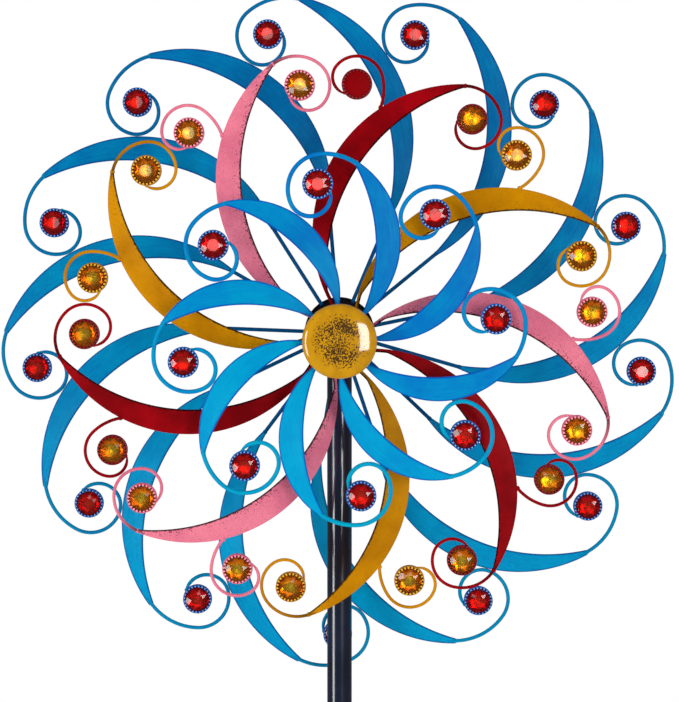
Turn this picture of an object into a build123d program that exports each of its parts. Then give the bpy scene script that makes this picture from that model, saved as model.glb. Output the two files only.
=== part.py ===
from build123d import *

import os
from dataclasses import dataclass
from math import asin, atan, atan2, cos, degrees, hypot, pi, radians, sin, sqrt, tan

# Kinetic garden wind spinner: three independent rotors on one fixed axle at the top of a sectioned pole.
# Millimetres. +Z is up, -Y is the front, X is to the right seen from the front.
# The origin is on the pole's axis at ground level, where the stake's prongs enter the soil.

# ---- driving dimensions -------------------------------------------------------------------------
AXLE_HEIGHT = 1400.0
END_FLOAT = 0.3             # from a hub's bush to the fixed washer or spacer beside it

POLE_RADIUS = 11.1
POLE_WALL = 1.2
POLE_JOINTS = (460.0, 930.0)
POLE_TOP = AXLE_HEIGHT + 14.0
SPIGOT_LENGTH = 50.0
SPIGOT_CLEARANCE = 0.1
SWAGE_LENGTH = 6.0

SOCKET_RADIUS = 13.0
SOCKET_CLEARANCE = 0.1
SOCKET_TOP = 90.0
SOCKET_BOTTOM = -60.0
PRONG_RADIUS = 3.2
PRONG_CIRCLE = 96.0
PRONG_COUNT = 4
PRONG_SHOULDER = 20.0
PRONG_BEND = 16.0
PRONG_DEPTH = 200.0
PRONG_POINT = 14.0

AXLE_RADIUS = 4.0
AXLE_FRONT = -97.0
AXLE_BACK = 55.0
NUT_ACROSS_FLATS = 13.0
NUT_THICKNESS = 5.0
WASHER_RADIUS = 8.0
WASHER_THICKNESS = 1.2
SPACER_RADIUS = 6.0
FIXED_BORE = 4.0            # nuts, washers and spacers clamp on the axle

HUB_RADIUS = 8.0
HUB_BORE = 6.0
HUB_LENGTH = 20.0
HUB_PLATE_RADIUS = 30.0
HUB_PLATE_THICKNESS = 1.5
WELD_GAP = 0.05             # from a blade's root or a rod to the plate it is tacked to
BUSH_BORE = AXLE_RADIUS + 0.05
BUSH_LENGTH = 8.0
BUSH_FLANGE_RADIUS = 7.5
BUSH_FLANGE_THICKNESS = 1.2

CAP_RADIUS = 32.0
CAP_THICKNESS = 1.0
CAP_SKIRT = 7.0
CAP_CORNER = 5.5
CAP_CROWN = 3.0
CAP_SEAT_SETBACK = 2.0      # from the hub's end to the middle of the flange that carries the cap

SHEET = 1.0                 # blade steel
PITCH = 20.0                # blade tilt out of the rotor's plane, in degrees
CUP = 1.2                   # how far the blade's section bows from straight
SHEET_WIDTH = 32.0          # width of the pressed ring that a blade is cut from
TRIM = 0.5                  # edge of that ring which the blade's outline cuts away

BEZEL_RADIUS = 13.25
BEZEL_WALL = 1.2
BEZEL_BACK = -2.5
BEZEL_FRONT = 3.5
GEM_TOP = 7.0


@dataclass
class Rotor:
    """One wheel of crescent blades, drawn with its first gem straight above the hub.

    x runs right and y up in the wheel's plane, and z towards the front. The blade leans clockwise
    from its scroll to its root. turn -1 mirrors the wheel, and first_gem then turns it in place.
    """

    name: str
    blades: int
    turn: int
    first_gem: float        # direction of the first gem from the hub, in degrees from the X axis
    plane: float            # the wheel's place along Y
    gem_circle: float       # radius that the gems stand on
    outer_centre: tuple     # centre and radius of the blade's convex edge
    outer_radius: float
    inner_centre: tuple     # centre and radius of the blade's concave edge
    inner_radius: float
    root_ray: float         # directions from outer_centre to the blade's two ends
    tip_ray: float
    stem: float             # the blade's least width, at its root
    wire: float             # diameter of the scroll's wire
    scroll: tuple           # radius and sweep of each arc of the scroll, from the blade's tip


FRONT = Rotor(
    name="front", blades=8, turn=1, first_gem=97.9, plane=-78.0, gem_circle=135.5,
    outer_centre=(-17.0, 88.3), outer_radius=81.4,
    inner_centre=(-104.0, 95.4), inner_radius=147.1,
    root_ray=-65.0, tip_ray=49.0, stem=4.0, wire=3.8,
    scroll=((50.1, 36.3), (30.1, 112.8), (17.8, 165.9)),
)
MIDDLE = Rotor(
    name="middle", blades=9, turn=-1, first_gem=98.9, plane=-54.0, gem_circle=221.8,
    outer_centre=(-42.4, 132.8), outer_radius=128.4,
    inner_centre=(-100.5, 129.9), inner_radius=164.1,
    root_ray=-64.0, tip_ray=60.5, stem=3.2, wire=2.8,
    scroll=((32.5, 73.8), (23.8, 92.0), (17.1, 129.1)),
)
REAR = Rotor(
    name="rear", blades=13, turn=1, first_gem=103.5, plane=36.0, gem_circle=277.7,
    outer_centre=(-21.9, 185.8), outer_radius=131.8,
    inner_centre=(-84.3, 175.3), inner_radius=171.8,
    root_ray=-46.5, tip_ray=63.5, stem=3.5, wire=3.4,
    scroll=((54.1, 53.4), (28.0, 99.8), (20.0, 159.6)),
)

# The middle wheel's blades carry a second scroll on the convex edge, behind the tip.
SIDE_GEM_CIRCLE = 220.6
SIDE_GEM_ANGLE = -27.2      # from the tip gem, before the wheel is mirrored
SIDE_SCROLL_START = (-28.3, -8.7)
SIDE_SCROLL_HEADING = 81.6
SIDE_SCROLL = ((46.1, 36.7), (22.7, 126.1), (15.1, 116.6))
MIDDLE_COLOURS = ("pink", "red", "yellow")
PLAIN_DISC_BLADE = 1        # this blade's side scroll holds a painted disc in place of a gem


# ---- small helpers ------------------------------------------------------------------------------
def polar(radius, angle, centre=(0.0, 0.0)):
    """A point in the wheel's plane, radius away from centre in the direction angle."""
    return Vector(centre[0] + radius * cos(radians(angle)), centre[1] + radius * sin(radians(angle)))


def cylinder(radius, low, high, centre=(0.0, 0.0)):
    """A solid cylinder along Z between two heights."""
    body = Solid.make_cylinder(radius, high - low)
    return body.moved(Location((centre[0], centre[1], low)))


def ring(outer, inner, low, high):
    """A round tube or washer along Z."""
    return cylinder(outer, low, high) - cylinder(inner, low - 1.0, high + 1.0)


def turned(points):
    """Revolve a closed outline of (radius, height) points about Z."""
    outline = Polyline(*[(r, 0.0, h) for r, h in points], close=True)
    return revolve(make_face(outline), axis=Axis.Z)


def along_axle(shape):
    """Take a shape drawn along +Z, the front direction, onto the axle, where -Y is the front."""
    frame = Plane(origin=(0.0, 0.0, AXLE_HEIGHT), x_dir=(1.0, 0.0, 0.0), z_dir=(0.0, -1.0, 0.0))
    return shape.moved(frame.location)


def between(front, back, outer, inner):
    """A ring on the axle from y = front to y = back."""
    return along_axle(ring(outer, inner, -back, -front))


def wheel_copy(shape, rotor, index):
    """Place a shape drawn for the first gem straight up as copy number index of the wheel."""
    if rotor.turn < 0:
        shape = mirror(shape, about=Plane.YZ)
    angle = rotor.first_gem - 90.0 - index * 360.0 / rotor.blades
    spun = shape.moved(Location((0.0, 0.0, -rotor.plane), (0.0, 0.0, angle)))
    return along_axle(spun)


def save(name, *shapes):
    """Write one node, whose pieces stay separate solids."""
    solids = [solid for shape in shapes for solid in shape.solids()]
    part = solids[0] if len(solids) == 1 else Compound(children=solids)
    part.label = name
    export_step(part, f"parts/{name}.step")


# ---- blades -------------------------------------------------------------------------------------
def edge_radius(rotor, angle):
    """Distance from outer_centre to the blade's concave edge in the direction angle."""
    dx = rotor.outer_centre[0] - rotor.inner_centre[0]
    dy = rotor.outer_centre[1] - rotor.inner_centre[1]
    along = dx * cos(radians(angle)) + dy * sin(radians(angle))
    reach = -along + sqrt(along ** 2 - dx ** 2 - dy ** 2 + rotor.inner_radius ** 2)
    return min(reach, rotor.outer_radius - rotor.stem)


def end_middle(rotor, angle):
    """Middle of the blade's width where it ends, on the ray from outer_centre."""
    radius = (rotor.outer_radius + edge_radius(rotor, angle)) / 2.0
    return polar(radius, angle, rotor.outer_centre)


def cupped_sheet(rotor):
    """The pressed surface a blade is cut from: a shallow dished ring about outer_centre.

    It lies in the wheel's plane at the convex edge and rises to the front towards the inside.
    """
    edge_slope = radians(PITCH) - 2.0 * atan(2.0 * CUP / SHEET_WIDTH)
    start = Vector(rotor.outer_radius + TRIM, -TRIM * tan(edge_slope))
    end = start + Vector(-SHEET_WIDTH * cos(radians(PITCH)), SHEET_WIDTH * sin(radians(PITCH)))
    normal = Vector(sin(radians(PITCH)), cos(radians(PITCH)))
    bow = (start + end) * 0.5 - normal * CUP
    half = normal * (SHEET / 2.0)

    def lift(v):
        return (v.X, 0.0, v.Y)

    front = ThreePointArc(lift(start + half), lift(bow + half), lift(end + half))
    back = ThreePointArc(lift(start - half), lift(bow - half), lift(end - half))
    sides = [Line(front @ 0, back @ 0), Line(front @ 1, back @ 1)]
    dish = revolve(make_face([front, back, *sides]), axis=Axis.Z)
    return dish.moved(Location((*rotor.outer_centre, 0.0)))


def blade(rotor):
    """A crescent between two arcs, cut from the cupped sheet."""
    depth = 20.0
    centre = Vector(*rotor.outer_centre)
    reach = 2.0 * rotor.outer_radius
    rays = [polar(reach, angle, rotor.outer_centre) for angle in (rotor.root_ray, 0.0, rotor.tip_ray)]
    wedge = make_face(Polyline(centre, *rays, close=True))
    wedge = extrude(wedge, amount=depth, both=True)
    disc = cylinder(rotor.outer_radius, -depth, depth, rotor.outer_centre)
    hollow = cylinder(rotor.inner_radius, -depth, depth, rotor.inner_centre)
    hollow = hollow & cylinder(rotor.outer_radius - rotor.stem, -depth, depth, rotor.outer_centre)
    return (cupped_sheet(rotor) & disc & wedge) - hollow


# ---- scrolls, bezels and gems -------------------------------------------------------------------
def scroll(start, heading, arcs, wire, turn=1):
    """A round wire through tangent arcs, from start in the direction heading."""
    path, point, direction = [], start, Vector(cos(radians(heading)), sin(radians(heading)))
    for radius, angle in arcs:
        arc = JernArc(start=point, tangent=direction, radius=radius, arc_size=turn * angle)
        path.append(arc)
        point, direction = arc @ 1, arc % 1
    line = Wire(path)
    section = Plane(origin=line @ 0, z_dir=line % 0) * Circle(wire / 2.0)
    return sweep(section, path=line)


def gem_place(rotor):
    """Centre of the first gem in the wheel's plane."""
    return Vector(0.0, rotor.gem_circle)


def side_gem_place():
    """Centre of the first side gem of the middle wheel, before it is mirrored."""
    return polar(SIDE_GEM_CIRCLE, 90.0 + SIDE_GEM_ANGLE)


def bezel_blank(place):
    """The room a bezel takes, which a scroll's end is coped to."""
    return cylinder(BEZEL_RADIUS, -10.0, 10.0, (place.X, place.Y))


def tip_scroll(rotor):
    """The wire that carries on from a blade's tip and curls in to the gem's bezel."""
    start = end_middle(rotor, rotor.tip_ray)
    wire = scroll(start, rotor.tip_ray + 90.0, rotor.scroll, rotor.wire)
    return wire - bezel_blank(gem_place(rotor))


def side_scroll(rotor):
    """The middle wheel's second wire, which leaves the convex edge and curls the other way."""
    place = side_gem_place()
    start = place + Vector(*SIDE_SCROLL_START)
    wire = scroll(start, SIDE_SCROLL_HEADING, SIDE_SCROLL, rotor.wire, turn=-1)
    edge = cylinder(rotor.outer_radius + WELD_GAP, -10.0, 10.0, rotor.outer_centre)
    return wire - bezel_blank(place) - edge


def bezel(place):
    """A round cup with a plain wall, which the gem is crimped into."""
    inner = BEZEL_RADIUS - BEZEL_WALL
    floor = BEZEL_BACK + BEZEL_WALL
    cup = cylinder(BEZEL_RADIUS, BEZEL_BACK, BEZEL_FRONT) - cylinder(inner, floor, BEZEL_FRONT + 1.0)
    return cup.moved(Location((place.X, place.Y, 0.0)))


def gem(place):
    """A low domed stone that stands on the bezel's floor."""
    radius = BEZEL_RADIUS - BEZEL_WALL - 0.05
    floor = BEZEL_BACK + BEZEL_WALL
    girdle = BEZEL_FRONT - 0.8
    side = [Line((0.0, 0.0, floor), (radius, 0.0, floor)), Line((radius, 0.0, floor), (radius, 0.0, girdle))]
    dome_height = GEM_TOP - girdle
    dome_radius = (radius ** 2 + dome_height ** 2) / (2.0 * dome_height)
    half_angle = asin(radius / dome_radius) / 2.0
    bow = (dome_radius * sin(half_angle), 0.0, GEM_TOP - dome_radius * (1.0 - cos(half_angle)))
    dome = ThreePointArc((radius, 0.0, girdle), bow, (0.0, 0.0, GEM_TOP))
    face = make_face([*side, dome, Line((0.0, 0.0, GEM_TOP), (0.0, 0.0, floor))])
    return revolve(face, axis=Axis.Z).moved(Location((place.X, place.Y, 0.0)))


def plain_disc(place):
    """A flat painted disc in a bezel, in place of a stone."""
    radius = BEZEL_RADIUS - BEZEL_WALL - 0.05
    floor = BEZEL_BACK + BEZEL_WALL
    return cylinder(radius, floor, BEZEL_FRONT - 1.0, (place.X, place.Y))


def around(shape, rotor, indexes=None):
    """Copies of a shape at each of the wheel's stations, or at the ones named."""
    stations = range(rotor.blades) if indexes is None else indexes
    return [wheel_copy(shape, rotor, index) for index in stations]


def make_front_wheel():
    shape = blade(FRONT)
    for index in range(FRONT.blades):
        save(f"front_blade_{index + 1}", wheel_copy(shape, FRONT, index))
    save("front_scrolls", *around(tip_scroll(FRONT), FRONT))
    save("front_bezels", *around(bezel(gem_place(FRONT)), FRONT))
    save("front_gems", *around(gem(gem_place(FRONT)), FRONT))


def make_middle_wheel():
    shape = blade(MIDDLE)
    tip, side = tip_scroll(MIDDLE), side_scroll(MIDDLE)
    for offset, colour in enumerate(MIDDLE_COLOURS):
        stations = range(offset, MIDDLE.blades, len(MIDDLE_COLOURS))
        for number, index in enumerate(stations):
            save(f"{colour}_blade_{number + 1}", wheel_copy(shape, MIDDLE, index))
        save(f"{colour}_scrolls", *around(tip, MIDDLE, stations), *around(side, MIDDLE, stations))
    places = (gem_place(MIDDLE), side_gem_place())
    save("middle_bezels", *[copy for place in places for copy in around(bezel(place), MIDDLE)])
    gem_stations = [index for index in range(MIDDLE.blades) if index != PLAIN_DISC_BLADE]
    side_gems = around(gem(side_gem_place()), MIDDLE, gem_stations)
    save("middle_gems", *around(gem(gem_place(MIDDLE)), MIDDLE), *side_gems)
    save("plain_disc", *around(plain_disc(side_gem_place()), MIDDLE, [PLAIN_DISC_BLADE]))


def rear_rod():
    """The straight rod from the rear hub's plate to the root of a rear blade."""
    root = end_middle(REAR, REAR.root_ray)
    length = hypot(root.X, root.Y)
    direction = degrees(atan2(root.Y, root.X))
    inner = HUB_RADIUS + 1.0
    rod = Solid.make_cylinder(REAR.stem / 2.0, length - inner)
    rod = rod.moved(Location((inner, 0.0, 0.0), (0.0, 90.0, 0.0)))
    rod = rod.moved(Location((0.0, 0.0, 0.0), (0.0, 0.0, direction)))
    beyond = polar(4.0, REAR.root_ray + 90.0, (root.X, root.Y))
    ray = polar(1.0, REAR.root_ray)
    outwards = tuple(beyond - Vector(root.X, root.Y))
    clear = Plane(origin=(root.X, root.Y, 0.0), x_dir=(ray.X, ray.Y, 0.0), z_dir=outwards)
    return split(rod, bisect_by=clear, keep=Keep.BOTTOM)


def make_rear_wheel():
    shape = blade(REAR)
    for index in range(REAR.blades):
        save(f"rear_blade_{index + 1}", wheel_copy(shape, REAR, index))
    save("rear_rods", *around(rear_rod(), REAR))
    save("rear_scrolls", *around(tip_scroll(REAR), REAR))
    save("rear_bezels", *around(bezel(gem_place(REAR)), REAR))
    save("rear_gems", *around(gem(gem_place(REAR)), REAR))


# ---- hubs, bushes and caps ----------------------------------------------------------------------
def hub(rotor, plate_front, cap_side=0):
    """A bored tube with the plate that the blades are tacked to, and a flange if it carries a cap.

    plate_front is the plate's front face along Y. cap_side is -1 for a cap at the front, 1 behind.
    """
    half = HUB_LENGTH / 2.0
    low, high = rotor.plane - half, rotor.plane + half
    body = between(low, high, HUB_RADIUS, HUB_BORE)
    plate = between(plate_front, plate_front + HUB_PLATE_THICKNESS, HUB_PLATE_RADIUS, HUB_BORE)
    body = body + plate
    if cap_side:
        seat = rotor.plane + cap_side * (half - CAP_SEAT_SETBACK)
        step = HUB_PLATE_THICKNESS / 2.0
        body = body + between(seat - step, seat + step, CAP_RADIUS - CAP_THICKNESS, HUB_BORE)
    return body


def bushes(rotor):
    """Two flanged nylon bushes, one pressed into each end of the hub."""
    pair = []
    for side in (-1.0, 1.0):
        end = rotor.plane + side * HUB_LENGTH / 2.0
        inside, outside = end - side * BUSH_LENGTH, end + side * BUSH_FLANGE_THICKNESS
        sleeve = between(min(end, inside), max(end, inside), HUB_BORE, BUSH_BORE)
        flange = between(min(end, outside), max(end, outside), BUSH_FLANGE_RADIUS, BUSH_BORE)
        pair.append(sleeve + flange)
    return pair


def cap_profile(offset):
    """Half outline of the pressed cap, drawn from the rim to the middle, offset inwards."""
    radius = CAP_RADIUS - offset
    corner = CAP_CORNER - offset
    shoulder = CAP_SKIRT
    flat = CAP_RADIUS - CAP_CORNER
    top = shoulder + corner
    crown = top + CAP_CROWN
    crown_radius = (flat ** 2 + CAP_CROWN ** 2) / (2.0 * CAP_CROWN)
    half_angle = asin(flat / crown_radius) / 2.0
    bow = (crown_radius * sin(half_angle), 0.0, crown - crown_radius * (1.0 - cos(half_angle)))
    skirt = Line((radius, 0.0, 0.0), (radius, 0.0, shoulder))
    turn = (flat + corner * cos(pi / 4.0), 0.0, shoulder + corner * sin(pi / 4.0))
    bend = ThreePointArc((radius, 0.0, shoulder), turn, (flat, 0.0, top))
    dome = ThreePointArc((flat, 0.0, top), bow, (0.0, 0.0, crown))
    return [skirt, bend, dome]


def cap(rotor, side):
    """A domed pressing that hides the axle's end and pushes over the hub's flange."""
    outside, inside = cap_profile(0.0), cap_profile(CAP_THICKNESS)
    rim = Line(outside[0] @ 0, inside[0] @ 0)
    middle = Line(outside[2] @ 1, inside[2] @ 1)
    shell = revolve(make_face([*outside, *inside, rim, middle]), axis=Axis.Z)
    seat = HUB_LENGTH / 2.0 - CAP_SEAT_SETBACK - HUB_PLATE_THICKNESS
    if side > 0:
        shell = shell.rotate(Axis.X, 180.0)
    return along_axle(shell.moved(Location((0.0, 0.0, -rotor.plane - side * seat))))


def make_hubs():
    plate = SHEET / 2.0 / cos(radians(PITCH)) + WELD_GAP
    behind_blades = FRONT.plane + plate
    save("front_hub", hub(FRONT, behind_blades, cap_side=-1))
    save("middle_hub", hub(MIDDLE, MIDDLE.plane + plate))
    ahead_of_rods = REAR.plane - REAR.stem / 2.0 - WELD_GAP - HUB_PLATE_THICKNESS
    save("rear_hub", hub(REAR, ahead_of_rods, cap_side=1))
    for rotor in (FRONT, MIDDLE, REAR):
        save(f"{rotor.name}_bushes", *bushes(rotor))
    save("front_cap", cap(FRONT, -1.0))
    save("rear_cap", cap(REAR, 1.0))


# ---- axle and what is fixed on it ---------------------------------------------------------------
def nut(front):
    """A thin hexagon nut with its front face at y = front."""
    blank = extrude(RegularPolygon(NUT_ACROSS_FLATS / 2.0, 6, major_radius=False), amount=NUT_THICKNESS)
    blank = blank - cylinder(FIXED_BORE, -1.0, NUT_THICKNESS + 1.0)
    return along_axle(blank.moved(Location((0.0, 0.0, -front - NUT_THICKNESS))))


def make_axle():
    """The axle, with nuts against the pole, spacers to the hubs, and a nut at each end."""
    hub_reach = HUB_LENGTH / 2.0 + BUSH_FLANGE_THICKNESS + END_FLOAT
    pole_nut = POLE_RADIUS + WASHER_THICKNESS
    pole_stack = pole_nut + NUT_THICKNESS
    front_stop = FRONT.plane - hub_reach
    back_stop = REAR.plane + hub_reach
    between_wheels = (FRONT.plane + MIDDLE.plane) / 2.0
    half_washer = WASHER_THICKNESS / 2.0
    save("axle", along_axle(cylinder(AXLE_RADIUS, -AXLE_BACK, -AXLE_FRONT)))
    washers = [
        (front_stop - WASHER_THICKNESS, front_stop),
        (between_wheels - half_washer, between_wheels + half_washer),
        (-pole_nut, -POLE_RADIUS),
        (POLE_RADIUS, pole_nut),
        (back_stop, back_stop + WASHER_THICKNESS),
    ]
    save("axle_washers", *[between(front, back, WASHER_RADIUS, FIXED_BORE) for front, back in washers])
    nuts = [
        front_stop - WASHER_THICKNESS - NUT_THICKNESS,
        -pole_stack,
        pole_nut,
        back_stop + WASHER_THICKNESS,
    ]
    save("axle_nuts", *[nut(front) for front in nuts])
    spacers = [(MIDDLE.plane + hub_reach, -pole_stack), (pole_stack, REAR.plane - hub_reach)]
    save("axle_spacers", *[between(front, back, SPACER_RADIUS, FIXED_BORE) for front, back in spacers])


# ---- pole and ground stake ----------------------------------------------------------------------
def pole_section(bottom, top, spigot):
    """A length of tube, drawn down to a spigot at its foot where it enters the section below."""
    bore = POLE_RADIUS - POLE_WALL
    if not spigot:
        return ring(POLE_RADIUS, bore, bottom, top)
    neck = bore - SPIGOT_CLEARANCE
    neck_bore = neck - POLE_WALL
    foot = bottom - SPIGOT_LENGTH
    return turned([
        (neck_bore, foot),
        (neck, foot),
        (neck, bottom),
        (POLE_RADIUS, bottom),
        (POLE_RADIUS, top),
        (bore, top),
        (bore, bottom + SWAGE_LENGTH),
        (neck_bore, bottom),
    ])


def pole_cap():
    """A plastic plug that closes the pole's top, clear of the axle."""
    bore = POLE_RADIUS - POLE_WALL
    edge, dome = 2.0, 3.0
    plug = cylinder(bore, AXLE_HEIGHT + AXLE_RADIUS + 3.0, POLE_TOP)
    rim = cylinder(POLE_RADIUS, POLE_TOP, POLE_TOP + edge)
    ball_radius = (POLE_RADIUS ** 2 + dome ** 2) / (2.0 * dome)
    ball = Solid.make_sphere(ball_radius, angle1=-90.0, angle2=90.0)
    ball = ball.moved(Location((0.0, 0.0, POLE_TOP + edge + dome - ball_radius)))
    crown = ball & cylinder(POLE_RADIUS, POLE_TOP + edge, POLE_TOP + edge + dome)
    return plug + rim + crown


def prong():
    """A bent rod, out from the socket and down into the soil, with a turned point."""
    radius = PRONG_CIRCLE / 2.0
    start = (SOCKET_RADIUS - 0.8, 0.0, PRONG_SHOULDER)
    foot = (radius, 0.0, -PRONG_DEPTH + PRONG_POINT)
    path = FilletPolyline(start, (radius, 0.0, PRONG_SHOULDER), foot, radius=PRONG_BEND)
    rod = sweep(Plane(origin=start, z_dir=(1.0, 0.0, 0.0)) * Circle(PRONG_RADIUS), path=path)
    point = Solid.make_cone(0.4, PRONG_RADIUS, PRONG_POINT)
    return rod + point.moved(Location((radius, 0.0, -PRONG_DEPTH)))


def ground_stake():
    """A socket tube with the prongs welded around it."""
    bore = POLE_RADIUS + SOCKET_CLEARANCE
    body = ring(SOCKET_RADIUS, bore, SOCKET_BOTTOM, SOCKET_TOP)
    body = body + cylinder(SOCKET_RADIUS, SOCKET_BOTTOM - 3.0, SOCKET_BOTTOM)
    for index in range(PRONG_COUNT):
        body = body + prong().rotate(Axis.Z, 45.0 + index * 360.0 / PRONG_COUNT)
    return body


def make_pole():
    low, high = POLE_JOINTS
    save("lower_pole", pole_section(SOCKET_BOTTOM, low, spigot=False))
    save("middle_pole", pole_section(low, high, spigot=True))
    drill = along_axle(cylinder(AXLE_RADIUS, -2.0 * POLE_RADIUS, 2.0 * POLE_RADIUS))
    save("upper_pole", pole_section(high, POLE_TOP, spigot=True) - drill)
    save("pole_cap", pole_cap())
    save("ground_stake", ground_stake())


os.makedirs("parts", exist_ok=True)
make_front_wheel()
make_middle_wheel()
make_rear_wheel()
make_hubs()
make_axle()
make_pole()
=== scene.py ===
import random
from dataclasses import dataclass
from math import atan, ceil, cos, hypot, pi, radians, sin, sqrt, tan

import bpy
from mathutils import Matrix, Vector, noise


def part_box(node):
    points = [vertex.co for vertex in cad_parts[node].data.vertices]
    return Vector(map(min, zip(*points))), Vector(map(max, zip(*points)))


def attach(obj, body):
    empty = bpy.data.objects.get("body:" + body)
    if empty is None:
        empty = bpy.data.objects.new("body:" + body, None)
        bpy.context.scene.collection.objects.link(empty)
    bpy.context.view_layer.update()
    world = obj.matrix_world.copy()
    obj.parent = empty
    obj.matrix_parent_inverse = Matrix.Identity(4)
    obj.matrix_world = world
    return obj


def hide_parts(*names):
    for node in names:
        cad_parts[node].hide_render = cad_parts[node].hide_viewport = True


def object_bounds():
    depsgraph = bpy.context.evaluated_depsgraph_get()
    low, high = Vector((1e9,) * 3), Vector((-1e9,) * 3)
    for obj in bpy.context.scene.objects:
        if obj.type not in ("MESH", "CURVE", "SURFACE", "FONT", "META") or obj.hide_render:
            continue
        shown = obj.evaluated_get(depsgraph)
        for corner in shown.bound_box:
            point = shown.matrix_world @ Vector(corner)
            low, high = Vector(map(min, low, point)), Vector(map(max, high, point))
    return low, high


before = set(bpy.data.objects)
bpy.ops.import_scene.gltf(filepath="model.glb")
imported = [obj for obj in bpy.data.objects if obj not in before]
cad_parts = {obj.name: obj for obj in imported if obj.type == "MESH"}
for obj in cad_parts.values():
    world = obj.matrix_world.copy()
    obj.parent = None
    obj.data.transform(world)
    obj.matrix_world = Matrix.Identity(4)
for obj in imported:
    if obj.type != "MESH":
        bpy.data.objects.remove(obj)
cad_low, cad_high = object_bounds()

# Wheels are drawn in millimetres, x to the right, y up and z to the front, then placed on the axle.
MM = 0.001
axle_low, axle_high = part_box("axle")
AXLE_HEIGHT = (axle_low.z + axle_high.z) / 2.0

SHEET = 1.0                 # blade steel
PITCH = 20.0                # blade tilt out of the wheel's plane, in degrees
CUP = 1.2                   # how far the blade's section bows from straight
SHEET_WIDTH = 32.0          # width of the pressed ring that a blade is cut from
TRIM = 0.5                  # edge of that ring which the blade's outline cuts away
EDGE_ROUND = 0.45
BLADE_STRIPS = 8            # quads across a blade's face

BEZEL_RADIUS = 13.25
BEZEL_WALL = 1.2
BEZEL_BACK = -2.5
GEM_TOP = 7.0
TEETH = 24
TOOTH_STEPS = 8             # points round the rim for each tooth

POLE_WALL = 1.2
SPIGOT_LENGTH = 50.0
SOCKET_RADIUS = 13.0
PRONGS = 4
PRONG_RADIUS = 3.2
PRONG_CIRCLE_RADIUS = 48.0
PRONG_SHOULDER = 20.0
PRONG_BEND = 16.0
PRONG_DEPTH = 200.0
PRONG_POINT = 14.0

TUBE_SIDES = 14
LATHE_SIDES = 72
CAP_SIDES = 120
STEP = 2.2                  # between points along a wire or a blade
NO_EDGE = 3.0               # distance from a cut edge, on surfaces that have none

# A scroll's wire lies back along its blade's tip by these degrees, and is ground thin there and at its end.
LEAD = (5.0, 4.0, 3.0, 2.0, 1.0)
LEAD_SHARES = (0.15, 0.45, 0.68, 0.85, 0.95)
END_SHARES = (0.95, 0.85, 0.7, 0.5)


@dataclass
class Rotor:
    """One wheel of crescent blades, drawn with its first gem straight above the hub."""

    name: str
    blades: int
    turn: int
    first_gem: float
    gem_circle: float
    outer_centre: tuple
    outer_radius: float
    inner_centre: tuple
    inner_radius: float
    root_ray: float
    tip_ray: float
    stem: float
    wire: float
    scroll: tuple


FRONT = Rotor(
    name="front", blades=8, turn=1, first_gem=97.9, gem_circle=135.5,
    outer_centre=(-17.0, 88.3), outer_radius=81.4,
    inner_centre=(-104.0, 95.4), inner_radius=147.1,
    root_ray=-65.0, tip_ray=49.0, stem=4.0, wire=3.8,
    scroll=((50.1, 36.3), (30.1, 112.8), (17.8, 165.9)),
)
MIDDLE = Rotor(
    name="middle", blades=9, turn=-1, first_gem=98.9, gem_circle=221.8,
    outer_centre=(-42.4, 132.8), outer_radius=128.4,
    inner_centre=(-100.5, 129.9), inner_radius=164.1,
    root_ray=-64.0, tip_ray=60.5, stem=3.2, wire=2.8,
    scroll=((32.5, 73.8), (23.8, 92.0), (17.1, 129.1)),
)
REAR = Rotor(
    name="rear", blades=13, turn=1, first_gem=103.5, gem_circle=277.7,
    outer_centre=(-21.9, 185.8), outer_radius=131.8,
    inner_centre=(-84.3, 175.3), inner_radius=171.8,
    root_ray=-46.5, tip_ray=63.5, stem=3.5, wire=3.4,
    scroll=((54.1, 53.4), (28.0, 99.8), (20.0, 159.6)),
)
SIDE_GEM_CIRCLE = 220.6
SIDE_GEM_ANGLE = -27.2
SIDE_SCROLL_START = (-28.3, -8.7)
SIDE_SCROLL_HEADING = 81.6
SIDE_SCROLL = ((46.1, 36.7), (22.7, 126.1), (15.1, 116.6))
MIDDLE_COLOURS = ("pink", "red", "yellow")
PLAIN_DISC_BLADE = 1        # the side scroll of this blade holds a painted disc, not a stone
BURN = 0.75                 # darkness of the middle wheel's paint where a wire leaves the blade's tip
BURN_FADE = 0.07            # and how much less of it at each point of the wire away from there


# ---- places ---------------------------------------------------------------------------------------
def on_axle(plane):
    """From a drawing in millimetres, with z to the front, to the object's own frame at y = plane."""
    turn = Matrix.Rotation(radians(90.0), 4, "X")
    return Matrix.Translation((0.0, plane, AXLE_HEIGHT)) @ turn @ Matrix.Scale(MM, 4)


def plane_of(rotor):
    low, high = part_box(f"{rotor.name}_hub")
    return (low.y + high.y) / 2.0


def direction(rotor, index):
    """Direction of a gem from the hub, in degrees."""
    return rotor.first_gem - index * 360.0 / rotor.blades


def station(rotor, index):
    """The place of copy number index of what is drawn for the first gem straight up."""
    spin = Matrix.Rotation(radians(direction(rotor, index) - 90.0), 4, "Z")
    mirror = Matrix.Scale(rotor.turn, 4, (1.0, 0.0, 0.0))
    return on_axle(plane_of(rotor)) @ spin @ mirror


def polar(radius, angle, centre=(0.0, 0.0)):
    turn = radians(angle)
    return Vector((centre[0] + radius * cos(turn), centre[1] + radius * sin(turn), 0.0))


def mix(a, b, share):
    return a + (b - a) * share


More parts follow.
